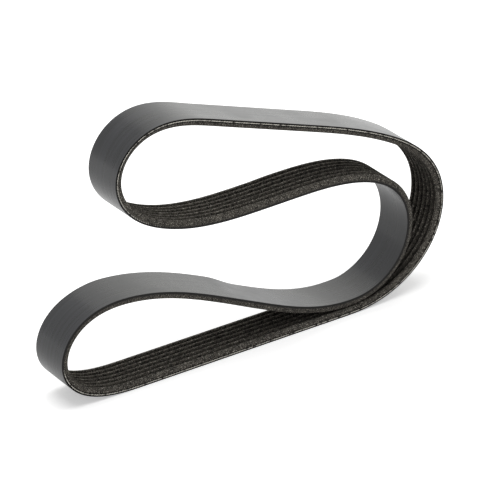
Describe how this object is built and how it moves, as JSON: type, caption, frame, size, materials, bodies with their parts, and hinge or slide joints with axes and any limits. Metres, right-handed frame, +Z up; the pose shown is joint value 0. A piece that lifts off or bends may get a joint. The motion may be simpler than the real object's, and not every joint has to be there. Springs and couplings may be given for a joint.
{
  "type": "serpentine belt",
  "caption": "Endless ribbed rubber drive belt with a smooth back, standing in a free folded loop; it drives an engine's accessories from its crank pulley.",
  "frame": {"origin": "on the floor, in the middle of the belt's footprint", "axes": "+X along the strand that lies on the floor, towards the outer bend; +Y across the belt's width; +Z up, away from the floor"},
  "size_m": [0.2448, 0.025, 0.1469],
  "materials": {
    "belt_rubber": "black-brown fibre-filled rubber: speckled matt ribs and cut edges, satin smooth back, with a pale cord line showing along part of the cut edge"
  },
  "bodies": {
    "root": {"serpentine_belt": "belt_rubber"}
  },
  "joints": []
}
